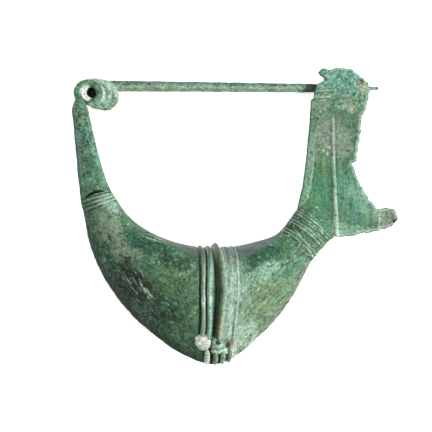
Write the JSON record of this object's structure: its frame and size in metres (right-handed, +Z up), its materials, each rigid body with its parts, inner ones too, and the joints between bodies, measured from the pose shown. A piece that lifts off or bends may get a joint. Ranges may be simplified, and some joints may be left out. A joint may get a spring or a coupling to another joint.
{
  "type": "fibula brooch",
  "caption": "Ancient bronze fibula brooch with a swollen ribbed bow, coiled spring, long pin and a broad torn catch plate, lying on its side.",
  "frame": {"origin": "under the middle of the brooch's box, on the surface it lies on", "axes": "+X from the spring to the catch plate, +Y from the crown of the bow to the pin, +Z up out of the side it lies on"},
  "size_m": [0.1042, 0.0946, 0.0315],
  "materials": {
    "bronze": "matt green patina"
  },
  "bodies": {
    "root": {"brooch": "bronze"}
  },
  "joints": []
}
